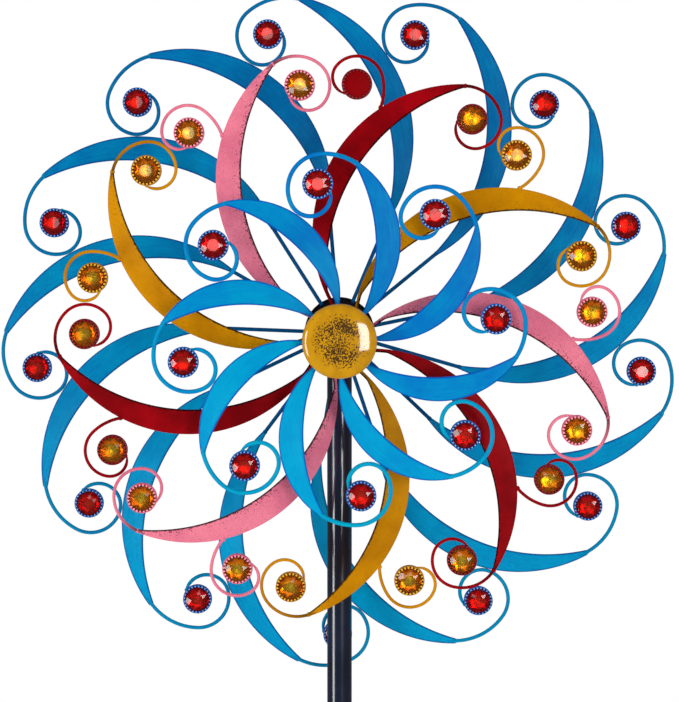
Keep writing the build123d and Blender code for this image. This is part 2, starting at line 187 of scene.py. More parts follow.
# ---- meshes ---------------------------------------------------------------------------------------
class Draft:
    """Points and faces of one piece. Each point has a place in the paint and a mark from 0 to 1."""

    def __init__(self):
        self.points, self.faces, self.strokes, self.marks = [], [], [], []

    def skin(self, rings, place, strokes=None, marks=None, looped=False):
        """Quads from each closed ring of points to the next, and a cap at each end unless looped."""
        first, size = len(self.points), len(rings[0])
        for number, ring in enumerate(rings):
            for k, point in enumerate(ring):
                self.points.append(place @ Vector(point))
                self.strokes.append(strokes[number][k] if strokes else (0.0, 0.0, 0.0))
                self.marks.append(marks[number][k] if marks else 0.0)
        faces = []
        for number in range(len(rings) if looped else len(rings) - 1):
            here = first + number * size
            there = first + (number + 1) % len(rings) * size
            for k in range(size):
                after = (k + 1) % size
                faces.append((here + k, here + after, there + after, there + k))
        if not looped:
            faces.append(tuple(first + k for k in reversed(range(size))))
            last = first + (len(rings) - 1) * size
            faces.append(tuple(last + k for k in range(size)))
        self.add_faces(faces, place)

    def add_faces(self, faces, place):
        """Keep the faces, turned over where the place mirrors them."""
        mirrored = place.determinant() < 0.0
        self.faces += [tuple(reversed(face)) if mirrored else face for face in faces]

    def piece(self, name, body, slot, material, *nodes, sharp=40.0):
        """Make the object that stands for the CAD nodes named."""
        mesh = bpy.data.meshes.new(name)
        mesh.from_pydata(self.points, [], self.faces)
        stroke = mesh.attributes.new("stroke", "FLOAT_VECTOR", "POINT")
        stroke.data.foreach_set("vector", [value for item in self.strokes for value in item])
        mark = mesh.attributes.new("mark", "FLOAT", "POINT")
        mark.data.foreach_set("value", self.marks)
        mesh.shade_smooth()
        mesh.set_sharp_from_angle(angle=radians(sharp))
        mesh.materials.append(material)
        piece = bpy.data.objects.new(name, mesh)
        bpy.context.scene.collection.objects.link(piece)
        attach(piece, body)
        if nodes:
            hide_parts(*nodes)
        return piece


def lathe(draft, outline, place, sides=LATHE_SIDES, looped=True):
    """Turn an outline of (radius, height) points about z. The paint knows each point's radius."""
    rings, strokes, along, last = [], [], 0.0, outline[0]
    for radius, height in outline:
        along += hypot(radius - last[0], height - last[1])
        last = (radius, height)
        angles = [2.0 * pi * k / sides for k in range(sides)]
        rings.append([(radius * cos(a), radius * sin(a), height) for a in angles])
        strokes.append([(along, radius * a, radius) for a in angles])
    draft.skin(rings, place, strokes, looped=looped)


def tube(draft, path, radii, place, marks=None, sides=TUBE_SIDES):
    """A round wire along a path in a plane of constant z."""
    rings, strokes, tones, along = [], [], [], 0.0
    for k, point in enumerate(path):
        before, after = path[max(k - 1, 0)], path[min(k + 1, len(path) - 1)]
        ahead = (after - before).normalized()
        side, up = Vector((-ahead.y, ahead.x, 0.0)), Vector((0.0, 0.0, 1.0))
        along += (point - before).length
        angles = [-2.0 * pi * n / sides for n in range(sides)]
        rings.append([point + (side * cos(a) + up * sin(a)) * radii[k] for a in angles])
        strokes.append([(along, radii[k] * a, NO_EDGE) for a in angles])
        tones.append([marks[k] if marks else 0.0] * sides)
    draft.skin(rings, place, strokes, tones)


def bead(draft, centre, size, place, seed):
    """A lump of weld: a rough ellipsoid, size being its half lengths."""
    rows, sides, roughness, rings = 7, 12, 0.16, []
    for row in range(rows):
        lift = -cos(pi * (row + 0.35) / (rows - 0.3))     # the end rows stop short of the poles
        reach = sqrt(max(0.0, 1.0 - lift ** 2))
        ring = []
        for k in range(sides):
            turn = 2.0 * pi * k / sides
            way = Vector((reach * cos(turn), reach * sin(turn), lift))
            rough = 1.0 + roughness * noise.noise(way * 1.7 + Vector((seed * 3.1, 0.0, 0.0)))
            ring.append([centre[n] + way[n] * size[n] * rough for n in range(3)])
        rings.append(ring)
    draft.skin(rings, place, [[(row, k, NO_EDGE) for k in range(sides)] for row in range(rows)])


def arc_points(centre, radius, start, end, count):
    """Points of an outline's rounded corner, from start to end degrees."""
    step = (end - start) / (count - 1)
    angles = [radians(start + step * k) for k in range(count)]
    return [(centre[0] + radius * cos(a), centre[1] + radius * sin(a)) for a in angles]


# ---- blades ---------------------------------------------------------------------------------------
def edge_radius(rotor, angle):
    """Distance from outer_centre to the blade's concave edge in the direction angle."""
    dx = rotor.outer_centre[0] - rotor.inner_centre[0]
    dy = rotor.outer_centre[1] - rotor.inner_centre[1]
    along = dx * cos(radians(angle)) + dy * sin(radians(angle))
    reach = -along + sqrt(along ** 2 - dx ** 2 - dy ** 2 + rotor.inner_radius ** 2)
    return min(reach, rotor.outer_radius - rotor.stem)


def end_middle(rotor, angle):
    """Middle of the blade's width on the ray from outer_centre."""
    return polar((rotor.outer_radius + edge_radius(rotor, angle)) / 2.0, angle, rotor.outer_centre)


def sheet_point(rotor, radius, offset):
    """Radius and height of a point that stands offset in front of the cupped sheet's middle."""
    pitch = radians(PITCH)
    edge_slope = pitch - 2.0 * atan(2.0 * CUP / SHEET_WIDTH)
    bend = (SHEET_WIDTH ** 2 / 4.0 + CUP ** 2) / (2.0 * CUP)
    middle = Vector((
        rotor.outer_radius + TRIM - SHEET_WIDTH / 2.0 * cos(pitch),
        -TRIM * tan(edge_slope) + SHEET_WIDTH / 2.0 * sin(pitch),
    ))
    centre = middle + Vector((sin(pitch), cos(pitch))) * (bend - CUP)
    height = centre.y - sqrt(bend ** 2 - (radius - centre.x) ** 2)
    on = Vector((radius, height))
    return on + (centre - on) / bend * offset


def section(width):
    """Distances from the concave edge, and offsets from the middle, across a round-edged sheet."""
    half = SHEET / 2.0
    rim = [(0.0, 0.0), (0.12, half * 0.72), (EDGE_ROUND, half)]
    inside = width - 2.0 * EDGE_ROUND
    flat = [(EDGE_ROUND + inside * k / BLADE_STRIPS, half) for k in range(1, BLADE_STRIPS)]
    return rim + flat + [(width - place, offset) for place, offset in reversed(rim)]


def blade(draft, rotor, place, shade_and_tone):
    """A crescent of cupped sheet between two arcs. Its paint knows the distance along and from each edge."""
    span = rotor.tip_ray - rotor.root_ray
    steps = ceil(radians(span) * rotor.outer_radius / STEP)
    rings, strokes, tones = [], [], []
    for number in range(steps + 1):
        angle = rotor.root_ray + span * number / steps
        inner = edge_radius(rotor, angle)
        width = rotor.outer_radius - inner
        across = section(width)
        loop = across + [(x, -offset) for x, offset in reversed(across[1:-1])]
        along = radians(angle - rotor.root_ray) * rotor.outer_radius
        ring, paint = [], []
        for x, offset in loop:
            radius, height = sheet_point(rotor, inner + x, offset)
            on = polar(radius, angle, rotor.outer_centre)
            ring.append((on.x, on.y, height))
            paint.append((along, x, width - x))
        rings.append(ring)
        strokes.append(paint)
        tones.append([shade_and_tone] * len(loop))
    draft.skin(rings, place, strokes, tones)


# ---- scrolls --------------------------------------------------------------------------------------
def scroll_path(start, heading, arcs, turn=1):
    """Points along tangent arcs, from start in the direction heading."""
    path, point, heading = [start], start, radians(heading)
    for radius, sweep in arcs:
        side = Vector((-sin(heading), cos(heading), 0.0)) * radius * turn
        centre = point + side
        steps = ceil(radius * radians(sweep) / STEP)
        for k in range(1, steps + 1):
            turned = Matrix.Rotation(turn * radians(sweep) * k / steps, 3, "Z")
            path.append(centre - turned @ side)
        point = path[-1]
        heading += turn * radians(sweep)
    return path


def up_to_bezel(path, gem):
    """The path as far as the bezel's wall, which it enters a little."""
    reach = BEZEL_RADIUS - BEZEL_WALL * 0.4
    return [point for point in path if (point - gem).length > reach]


def seat_of(end, gem):
    """Where a wire's end is soldered to the bezel's wall."""
    return gem + (end - gem).normalized() * (BEZEL_RADIUS - 0.5)


def tapered(count, radius, shares):
    """Radii of a wire that is ground thinner over its last points."""
    return [radius] * (count - len(shares)) + [radius * share for share in shares]


def tip_path(rotor):
    """A scroll's centre line, and its radii, from where the wire lies on the blade's tip."""
    start = end_middle(rotor, rotor.tip_ray)
    reach = (start - Vector((*rotor.outer_centre, 0.0))).length
    lead = [polar(reach, rotor.tip_ray - back, rotor.outer_centre) for back in LEAD]
    gem = Vector((0.0, rotor.gem_circle, 0.0))
    wire = up_to_bezel(scroll_path(start, rotor.tip_ray + 90.0, rotor.scroll), gem)
    radius = rotor.wire / 2.0
    radii = [radius * share for share in LEAD_SHARES] + tapered(len(wire), radius, END_SHARES)
    return lead + wire, radii


def side_gem_place():
    return polar(SIDE_GEM_CIRCLE, 90.0 + SIDE_GEM_ANGLE)


def side_path():
    """The middle wheel's second scroll, from just inside the blade's convex edge."""
    tuck = 0.6
    gem = side_gem_place()
    start = gem + Vector((*SIDE_SCROLL_START, 0.0))
    path = up_to_bezel(scroll_path(start, SIDE_SCROLL_HEADING, SIDE_SCROLL, turn=-1), gem)
    centre = Vector((*MIDDLE.outer_centre, 0.0))
    return [point for point in path if (point - centre).length > MIDDLE.outer_radius - tuck]


# ---- bezels and stones ----------------------------------------------------------------------------
def bezel(draft, centre, place):
    """A cup whose rim is cut into teeth and folded in over the stone. Teeth are marked 1, cuts 0; the bezel
    paint turns these marks into painted glint, highlight and shade.
    """
    wall = BEZEL_RADIUS - BEZEL_WALL
    floor = BEZEL_BACK + BEZEL_WALL
    cut_rim = [(12.45, 3.3), (12.15, 3.35), (11.8, 3.4), (11.4, 3.35), (11.3, 2.9)]
    tooth_rim = [(12.3, 3.6), (11.9, 4.15), (11.4, 4.35), (10.8, 4.15), (11.0, 3.7)]
    sides = TEETH * TOOTH_STEPS
    angles = [2.0 * pi * k / sides for k in range(sides)]
    teeth = [min(1.0, max(0.0, 0.6 + 1.2 * cos(2.0 * pi * k / TOOTH_STEPS))) for k in range(sides)]
    rings, tones, strokes = [], [], []

    def ring(radii, heights, marks):
        row = list(zip(radii, heights, angles))
        rings.append([(centre.x + r * cos(a), centre.y + r * sin(a), h) for r, h, a in row])
        strokes.append([(h, r * a, NO_EDGE) for r, h, a in row])
        tones.append(marks)

    def plain(radius, height):
        ring([radius] * sides, [height] * sides, [0.5] * sides)

    outside = [(1.0, BEZEL_BACK), (12.65, BEZEL_BACK), (BEZEL_RADIUS, -1.9), (BEZEL_RADIUS, 2.7)]
    for radius, height in outside + [(13.1, 3.2), (12.6, 3.4)]:
        plain(radius, height)
    for cut, tooth in zip(cut_rim, tooth_rim):
        radii = [mix(cut[0], tooth[0], share) for share in teeth]
        heights = [mix(cut[1], tooth[1], share) for share in teeth]
        ring(radii, heights, teeth)
    for radius, height in ((wall, 0.5), (wall, floor), (1.0, floor)):
        plain(radius, height)
    draft.skin(rings, place, strokes, tones)


def stone(draft, backing, centre, place, spin, lean):
    """A stone cut in table, star, kite and girdle facets, leaning a little, over a backing of foil."""
    table, waist, girdle = 5.4, 9.2, 11.6
    top, shoulder, brim, hem, back = GEM_TOP - 0.7, 5.2, 2.6, 2.1, 1.5
    seat = Matrix.Translation(centre + Vector((0.0, 0.0, 2.3)))
    place = place @ seat @ Matrix.Rotation(radians(lean), 4, polar(1.0, spin * 8.0)) @ seat.inverted()
    foil_gap, foil_thickness = 0.06, 0.2
    foil_rings = []
    for share, drop in ((1.0, 0.0), (0.02, 0.0), (0.02, foil_thickness), (1.0, foil_thickness)):
        height = mix(back, hem, share) - foil_gap - drop
        foil_rings.append([(*polar(girdle * share, 22.5 * k + spin, centre).xy, height) for k in range(16)])
    backing.skin(foil_rings, place, looped=True)
    first = len(draft.points)

    def put(radius, angle, height):
        on = polar(radius, angle + spin, (centre.x, centre.y))
        draft.points.append(place @ Vector((on.x, on.y, height)))
        draft.strokes.append((on.x - centre.x, on.y - centre.y, height))
        draft.marks.append(0.0)

    for k in range(8):
        put(table, 45.0 * k, top)
    for k in range(8):
        put(waist, 45.0 * k + 22.5, shoulder)
    for height in (brim, hem):
        for k in range(16):
            put(girdle, 22.5 * k, height)
    put(0.0, 0.0, back)
    a, b, c, d, tip = first, first + 8, first + 16, first + 32, first + 48
    faces = [tuple(a + k for k in range(8))]
    for k in range(8):
        after, before = (k + 1) % 8, (k - 1) % 8
        faces.append((a + k, b + k, a + after))
        faces.append((a + k, b + before, c + 2 * k, b + k))
        faces.append((b + k, c + 2 * k, c + 2 * k + 1))
        faces.append((b + k, c + 2 * k + 1, c + (2 * k + 2) % 16))
    for k in range(16):
        after = (k + 1) % 16
        faces.append((c + k, d + k, d + after, c + after))
        faces.append((d + k, tip, d + after))
    draft.add_faces(faces, place)


# ---- materials ------------------------------------------------------------------------------------
def srgb(red, green, blue):
    """A colour of 0 to 255 parts as linear light."""
    parts = [value / 255.0 for value in (red, green, blue)]
    return (*[p / 12.92 if p <= 0.04045 else ((p + 0.055) / 1.055) ** 2.4 for p in parts], 1.0)


class Finish:
    """A material, and short ways to add nodes to it. Its mirror is the shader's specular level."""

    def __init__(self, name, roughness=0.35, metallic=0.0, coat=0.0, ior=1.5, mirror=0.5):
        self.material = bpy.data.materials.new(name)
        self.material.use_nodes = True
        self.tree = self.material.node_tree
        self.shader = self.tree.nodes["Principled BSDF"]
        self.shader.inputs["Roughness"].default_value = roughness
        self.shader.inputs["Metallic"].default_value = metallic
        self.shader.inputs["Coat Weight"].default_value = coat
        self.shader.inputs["Coat Roughness"].default_value = 0.08
        self.shader.inputs["IOR"].default_value = ior
        self.shader.inputs["Specular IOR Level"].default_value = mirror

    def node(self, kind, inputs=(), **settings):
        """A new node, with sockets linked or set by name or number."""
        node = self.tree.nodes.new("ShaderNode" + kind)
        for key, value in settings.items():
            setattr(node, key, value)
        for key, value in dict(inputs).items():
            if isinstance(value, bpy.types.NodeSocket):
                self.tree.links.new(value, node.inputs[key])
            else:
                node.inputs[key].default_value = value
        return node

    def place(self):
        return self.node("TexCoord").outputs["Object"]

    def attribute(self, name, output="Vector"):
        return self.node("Attribute", attribute_name=name).outputs[output]

    def scaled(self, vector, scale):
        return self.node("VectorMath", {0: vector, 1: scale}, operation="MULTIPLY").outputs[0]

    def noise(self, vector, scale, detail=3.0, roughness=0.5):
        inputs = {"Vector": vector, "Scale": scale, "Detail": detail, "Roughness": roughness}
        return self.node("TexNoise", inputs).outputs["Fac"]

    def math(self, operation, a, b=0.0):
        return self.node("Math", {0: a, 1: b}, operation=operation).outputs[0]

    def span(self, value, low, high, to_low=0.0, to_high=1.0):
        """Value carried smoothly from the range low to high onto another, and held at its ends."""
        inputs = {0: value, 1: low, 2: high, 3: to_low, 4: to_high}
        return self.node("MapRange", inputs, interpolation_type="SMOOTHSTEP").outputs[0]

    def blend(self, share, a, b, how="MIX"):
        node = self.node("Mix", {0: share, 6: a, 7: b}, data_type="RGBA", blend_type=how)
        return node.outputs[2]

    def colour(self, socket):
        self.tree.links.new(socket, self.shader.inputs["Base Color"])

    def rough(self, socket):
        self.tree.links.new(socket, self.shader.inputs["Roughness"])

    def bump(self, height, distance, strength=1.0):
        node = self.node("Bump", {"Height": height, "Distance": distance, "Strength": strength})
        self.tree.links.new(node.outputs["Normal"], self.shader.inputs["Normal"])


def brushed_enamel(name, light, deep, edge, wires=False):
    """Two blues brushed along the blade over each other. The mark deepens them with the blade's painted
    shade, and painted shade darkens the cut edges.
    """
    finish = Finish(name, roughness=0.4, mirror=0.04)
    stroke = finish.attribute("stroke")
    cloud = finish.noise(finish.place(), 26.0, 3.0, 0.55)
    brush = finish.noise(finish.scaled(stroke, (0.035, 0.42, 0.0)), 1.0, 4.0, 0.6)
    wash = finish.math("ADD", finish.math("MULTIPLY", cloud, 0.65), finish.math("MULTIPLY", brush, 0.35))
    shade_and_tone_share, low, spread = 0.5, 0.36, 0.3
    # The mark holds the blade's painted shade and its random tone.
    shade_and_tone = finish.math("MULTIPLY", finish.attribute("mark", "Fac"), shade_and_tone_share)
    share = finish.span(finish.math("ADD", wash, shade_and_tone), low, low + spread + shade_and_tone_share)
    body = finish.blend(share, light, deep)
    fine = finish.noise(finish.scaled(stroke, (0.12, 1.6, 0.0)), 1.0, 2.0, 0.5)
    body = finish.blend(finish.span(fine, 0.45, 0.75, 0.0, 0.22), body, edge)
    if not wires:
        parts = finish.node("SeparateXYZ", {0: stroke})
        rim = finish.math("MINIMUM", parts.outputs[1], parts.outputs[2])
        ragged = finish.math("ADD", rim, finish.math("MULTIPLY", brush, -0.9))
        # Painted shade: both cut edges are darkened, with a ragged border.
        body = finish.blend(finish.span(ragged, -0.1, 1.5, 0.85, 0.0), body, edge)
    finish.colour(body)
    finish.rough(finish.span(brush, 0.3, 0.7, 0.3, 0.46))
    finish.bump(finish.math("ADD", brush, finish.math("MULTIPLY", fine, 0.5)), 0.00012)
    return finish.material


def spattered_enamel(name, light, deep, dark, spatter, wires=False):
    """One colour, with a dark concave edge and specks that thin out from it. Wires darken by mark."""
    finish = Finish(name, roughness=0.42, mirror=0.04)
    stroke = finish.attribute("stroke")
    cloud = finish.noise(finish.place(), 22.0, 3.0, 0.55)
    grain = finish.noise(finish.place(), 420.0, 2.0, 0.6)
    body = finish.blend(finish.span(cloud, 0.35, 0.7), light, deep)
    body = finish.blend(finish.span(grain, 0.5, 0.75, 0.0, 0.4), body, deep)
    if not wires:
        parts = finish.node("SeparateXYZ", {0: stroke})
        dust = finish.noise(finish.place(), 1100.0, 2.0, 0.6)
        body = finish.blend(finish.span(dust, 0.52, 0.72, 0.0, spatter), body, dark)
        edge = finish.math("ADD", parts.outputs[1], finish.math("MULTIPLY", grain, -2.4))
        body = finish.blend(finish.span(edge, -0.6, 0.7, 0.95, 0.0), body, dark)
        near = finish.span(parts.outputs[1], 0.0, 12.0, spatter * 1.3, spatter * 0.2)
        cells = finish.node("TexVoronoi", {"Vector": finish.place(), "Scale": 620.0})
        chance = finish.node("SeparateXYZ", {0: cells.outputs["Color"]}).outputs[0]
        size = finish.math("MULTIPLY", chance, near)
        speck = finish.math("LESS_THAN", cells.outputs["Distance"], size)
        body = finish.blend(finish.math("MULTIPLY", speck, 0.8), body, dark)
        # Painted shade: the blade deepens within 0.9 mm of its convex edge.
        rim = finish.span(parts.outputs[2], 0.0, 0.9, 0.6, 0.0)
        body = finish.blend(rim, body, deep)
    else:
        body = finish.blend(finish.attribute("mark", "Fac"), body, dark)
    finish.colour(body)
    finish.rough(finish.span(cloud, 0.3, 0.7, 0.36, 0.5))
    finish.bump(grain, 0.00006)
    return finish.material


def crown_paint(name, tooth, wall, cut):
    """Bezel paint: one colour on the folded teeth, one in the cuts between them and one on the wall. The
    blue bezel's pale cut colour is a painted glint; on the warm bezels the pale teeth are a painted
    highlight and the dark cuts painted shade.
    """
    roughness = 0.3
    finish = Finish(name, roughness=roughness, mirror=0.3)
    grain = finish.noise(finish.place(), 500.0, 2.0, 0.5)
    crown_light_and_grain = finish.math("ADD", finish.attribute("mark", "Fac"), finish.math("MULTIPLY", grain, 0.16))
    body = finish.blend(finish.span(crown_light_and_grain, 0.16, 0.5), cut, wall)
    body = finish.blend(finish.span(crown_light_and_grain, 0.66, 0.95), body, tooth)
    finish.colour(body)
    finish.rough(finish.span(grain, 0.3, 0.7, roughness, roughness + 0.12))
    finish.bump(grain, 0.00004)
    return finish.material


def gloss(name, colour, shade, roughness=0.16, coat=0.6, mirror=0.5, peel=0.00002):
    """A gloss coat with slow colour drift, orange peel and patches of handling."""
    finish = Finish(name, roughness=roughness, coat=coat, mirror=mirror)
    cloud = finish.noise(finish.place(), 14.0, 4.0, 0.6)
    peel_noise = finish.noise(finish.place(), 330.0, 2.0, 0.5)
    finish.colour(finish.blend(finish.span(cloud, 0.35, 0.7), colour, shade))
    finish.rough(finish.span(cloud, 0.3, 0.75, roughness, roughness + 0.14))
    finish.bump(peel_noise, peel)
    return finish.material


def speckled_gold(name):
    """Ochre enamel with brown specks that crowd towards the middle of the cap."""
    finish = Finish(name, roughness=0.22, coat=1.0, mirror=0.1)
    finish.shader.inputs["Coat IOR"].default_value = 1.7
    stroke = finish.attribute("stroke")
    parts = finish.node("SeparateXYZ", {0: stroke})
    radius = parts.outputs[2]
    cloud = finish.noise(finish.place(), 60.0, 3.0, 0.6)
    body = finish.blend(finish.span(cloud, 0.35, 0.7), srgb(206, 148, 0), srgb(186, 130, 0))
    dots = finish.noise(finish.place(), 760.0, 2.0, 0.5)
    crowd = finish.noise(finish.place(), 48.0, 1.0, 0.5)
    inside = finish.span(radius, 16.0, 29.0, 0.09, -0.16)
    crowding = finish.math("MULTIPLY", finish.math("SUBTRACT", crowd, 0.5), 0.35)
    mask = finish.math("ADD", finish.math("ADD", dots, crowding), inside)
    speck = finish.span(mask, 0.56, 0.61)
    finish.colour(finish.blend(finish.math("MULTIPLY", speck, 0.92), body, srgb(52, 28, 4)))
    finish.rough(finish.span(speck, 0.0, 1.0, 0.16, 0.3))
    finish.bump(finish.math("MULTIPLY", speck, -1.0), 0.00005)
    return finish.material


def jewel(name, lit_middle, deep, clear):
    """Tinted glass, partly cloudy, with painted light: lighter in the middle and deeper in colour towards
    the girdle.
    """
    finish = Finish(name, roughness=0.0, ior=1.52)
    finish.shader.inputs["Transmission Weight"].default_value = clear
    stroke = finish.attribute("stroke")
    across = finish.scaled(stroke, (1.0, 1.0, 0.0))
    radius = finish.node("VectorMath", {0: across}, operation="LENGTH").outputs["Value"]
    swirl = finish.noise(finish.scaled(stroke, (0.16, 0.16, 0.16)), 1.0, 2.0, 0.5)
    reach = finish.math("ADD", radius, finish.math("MULTIPLY", swirl, 8.0))
    # Painted light: the lighter middle colour fades to the deeper one towards the girdle.
    finish.colour(finish.blend(finish.span(reach, 5.0, 12.0), lit_middle, deep))
    finish.rough(finish.span(swirl, 0.4, 0.8, 0.0, 0.02))
    return finish.material


def foil(name, colour, shade):
    """The mirror coat under a stone."""
    finish = Finish(name, roughness=0.2, metallic=1.0)
    cloud = finish.noise(finish.place(), 240.0, 2.0, 0.5)
    finish.colour(finish.blend(finish.span(cloud, 0.4, 0.75), colour, shade))
    finish.rough(finish.span(cloud, 0.3, 0.8, 0.14, 0.26))
    return finish.material


def plated(name, colour):
    """Zinc plate, with fine turning lines and dull patches."""
    roughness = 0.32
    finish = Finish(name, roughness=roughness, metallic=1.0)
    lines = finish.noise(finish.scaled(finish.place(), (60.0, 900.0, 60.0)), 1.0, 2.0, 0.5)
    cloud = finish.noise(finish.place(), 90.0, 3.0, 0.6)
    darker = tuple(value * 0.6 for value in colour[:3]) + (1.0,)
    finish.colour(finish.blend(finish.span(cloud, 0.4, 0.8), colour, darker))
    finish.rough(finish.span(lines, 0.3, 0.7, roughness - 0.08, roughness + 0.15))
    finish.bump(lines, 0.00003)
    return finish.material


PINK = (srgb(236, 128, 148), srgb(214, 106, 132), srgb(30, 6, 12))
RED = (srgb(158, 3, 14), srgb(118, 0, 6), srgb(30, 0, 4))
YELLOW = (srgb(204, 136, 0), srgb(176, 112, 0), srgb(40, 20, 4))
ENAMELS = {"pink": PINK, "red": RED, "yellow": YELLOW}
SPATTER = {"pink": 0.4, "red": 0.12, "yellow": 0.24}

front_blue = brushed_enamel("front_blue", srgb(0, 160, 202), srgb(0, 104, 184), srgb(0, 66, 168))
front_wire_blue = brushed_enamel(
    "front_wire_blue", srgb(0, 164, 194), srgb(0, 106, 190), srgb(0, 66, 176), wires=True)
rear_blue = brushed_enamel("rear_blue", srgb(0, 154, 200), srgb(0, 98, 160), srgb(0, 60, 136))
rear_wire_blue = brushed_enamel(
    "rear_wire_blue", srgb(0, 140, 182), srgb(0, 98, 154), srgb(0, 56, 124), wires=True)
rod_blue = brushed_enamel("rod_blue", srgb(0, 84, 136), srgb(0, 56, 108), srgb(0, 34, 76), wires=True)
blade_paint = {
    name: spattered_enamel(f"{name}_enamel", *ENAMELS[name], SPATTER[name]) for name in ENAMELS
}
wire_paint = {
    name: spattered_enamel(f"{name}_wire_enamel", *ENAMELS[name], 0.0, wires=True) for name in ENAMELS
}
# Painted light in the bezel colours: the blue bezel's pale cut colour is a painted glint; on the warm bezels
# the pale tooth colour is a painted highlight and the dark cut colour painted shade.
blue_bezel = crown_paint("blue_bezel", srgb(4, 26, 104), srgb(10, 84, 168), srgb(132, 186, 228))
bezel_paint = {
    "pink": crown_paint("pink_bezel", srgb(252, 164, 180), srgb(216, 96, 120), srgb(120, 10, 32)),
    "red": crown_paint("red_bezel", srgb(150, 8, 22), srgb(118, 0, 12), srgb(48, 0, 6)),
    "yellow": crown_paint("yellow_bezel", srgb(238, 184, 44), srgb(178, 112, 0), srgb(66, 34, 4)),
}
# A stone's first colour is the painted light of its middle; its second is the deeper colour at the girdle.
ruby = jewel("ruby", srgb(255, 84, 56), srgb(206, 4, 14), 0.88)
amber = jewel("amber", srgb(255, 234, 76), srgb(224, 142, 0), 0.9)
ruby_foil = foil("ruby_foil", srgb(255, 170, 150), srgb(220, 90, 90))
amber_foil = foil("amber_foil", srgb(255, 240, 200), srgb(220, 170, 90))
disc_red = gloss("disc_red", srgb(140, 0, 6), srgb(120, 0, 4), roughness=0.4, coat=0.0, mirror=0.04)
gold = speckled_gold("speckled_gold")
black_gloss = gloss("black_gloss", srgb(7, 7, 9), srgb(14, 14, 17), coat=0.3)
navy_gloss = gloss(
    "navy_gloss", srgb(10, 18, 36), srgb(16, 26, 50), roughness=0.14, coat=0.9, peel=0.000006)
stake_black = gloss(
    "stake_black", srgb(22, 22, 26), srgb(36, 34, 36), roughness=0.34, coat=0.2, peel=0.00006)
zinc = plated("zinc", srgb(176, 178, 184))
nylon = gloss("nylon", srgb(214, 210, 198), srgb(196, 190, 174), roughness=0.42, coat=0.0)
black_plastic = gloss("black_plastic", srgb(24, 24, 26), srgb(34, 34, 36), roughness=0.45, coat=0.0)


# ---- the wheels -----------------------------------------------------------------------------------
def stone_turn(chance):
    """How far a stone is spun in its bezel, and how far it leans, in degrees."""
    return chance.uniform(0.0, 45.0), chance.uniform(1.0, 4.0)


def make_blue_wheel(rotor, blade_material, wire_material, shaded_side):
    """Blades, scrolls, bezels and stones of a blue wheel, whose blades and wires carry a painted shade that
    is deepest on one side of the wheel.
    """
    body = f"{rotor.name}_rotor"
    chance = random.Random(rotor.blades)
    wires, bezels, stones, backing = Draft(), Draft(), Draft(), Draft()
    path, radii = tip_path(rotor)
    gem = Vector((0.0, rotor.gem_circle, 0.0))
    for index in range(rotor.blades):
        place = station(rotor, index)
        # Painted shade: a blade and its scroll wire are darker the nearer they point to the shaded side,
        # plus a little random tone.
        shade_and_tone = 0.5 + 0.4 * cos(radians(direction(rotor, index) - shaded_side)) + chance.uniform(-0.1, 0.1)
        crescent = Draft()
        blade(crescent, rotor, place, shade_and_tone)
        node = f"{rotor.name}_blade_{index + 1}"
        crescent.piece(f"{node}.crescent", body, f"{rotor.name}_blue_paint", blade_material, node)
        tube(wires, path, radii, place, [shade_and_tone] * len(path))
        bead(wires, seat_of(path[-1], gem), (2.1, 2.1, 1.6), place, index)
        bead(wires, path[len(LEAD)], (2.3, 2.3, 1.7), place, index + 40)
        bezel(bezels, gem, place)
        stone(stones, backing, gem, place, *stone_turn(chance))
    slot = f"{rotor.name}_blue_paint"
    wires.piece(f"{rotor.name}_scroll_wires", body, slot, wire_material, f"{rotor.name}_scrolls")
    bezels.piece(f"{rotor.name}_crown_bezels", body, "navy_paint", blue_bezel, f"{rotor.name}_bezels")
    stones.piece(f"{rotor.name}_stones", body, "red_glass", ruby, f"{rotor.name}_gems", sharp=5.0)
    backing.piece(f"{rotor.name}_stone_foils", body, "red_glass", ruby_foil, sharp=5.0)


def make_middle_wheel():
    """Pink, red and yellow blades, each with two scrolls."""
    chance = random.Random(9)
    stones, backing = Draft(), Draft()
    tip, radii = tip_path(MIDDLE)
    side = side_path()
    burnt = [max(0.0, BURN - BURN_FADE * abs(k - len(LEAD) - 1)) for k in range(len(tip))]
    tip_gem, side_gem = Vector((0.0, MIDDLE.gem_circle, 0.0)), side_gem_place()
    for offset, colour in enumerate(MIDDLE_COLOURS):
        wires, bezels = Draft(), Draft()
        for number, index in enumerate(range(offset, MIDDLE.blades, len(MIDDLE_COLOURS))):
            place = station(MIDDLE, index)
            crescent = Draft()
            blade(crescent, MIDDLE, place, shade_and_tone=0.5)
            node = f"{colour}_blade_{number + 1}"
            crescent.piece(f"{node}.crescent", "middle_rotor", f"{colour}_paint", blade_paint[colour], node)
            tube(wires, tip, radii, place, burnt)
            tube(wires, side, tapered(len(side), MIDDLE.wire / 2.0, END_SHARES), place)
            bead(wires, side[0], (2.2, 2.2, 1.5), place, index)
            for gem, end in ((tip_gem, tip[-1]), (side_gem, side[-1])):
                bezel(bezels, gem, place)
                bead(wires, seat_of(end, gem), (1.8, 1.8, 1.4), place, index + 20)
            bead(wires, tip[len(LEAD)], (2.1, 2.1, 1.4), place, index + 40)
            stone(stones, backing, tip_gem, place, *stone_turn(chance))
            if index != PLAIN_DISC_BLADE:
                stone(stones, backing, side_gem, place, *stone_turn(chance))
        wires.piece(
            f"{colour}_scroll_wires", "middle_rotor", f"{colour}_paint", wire_paint[colour],
            f"{colour}_scrolls")
        bezels.piece(
            f"{colour}_crown_bezels", "middle_rotor", "warm_bezel_paint", bezel_paint[colour],
            "middle_bezels")
    stones.piece("middle_stones", "middle_rotor", "amber_glass", amber, "middle_gems", sharp=5.0)
    backing.piece("middle_stone_foils", "middle_rotor", "amber_glass", amber_foil, sharp=5.0)


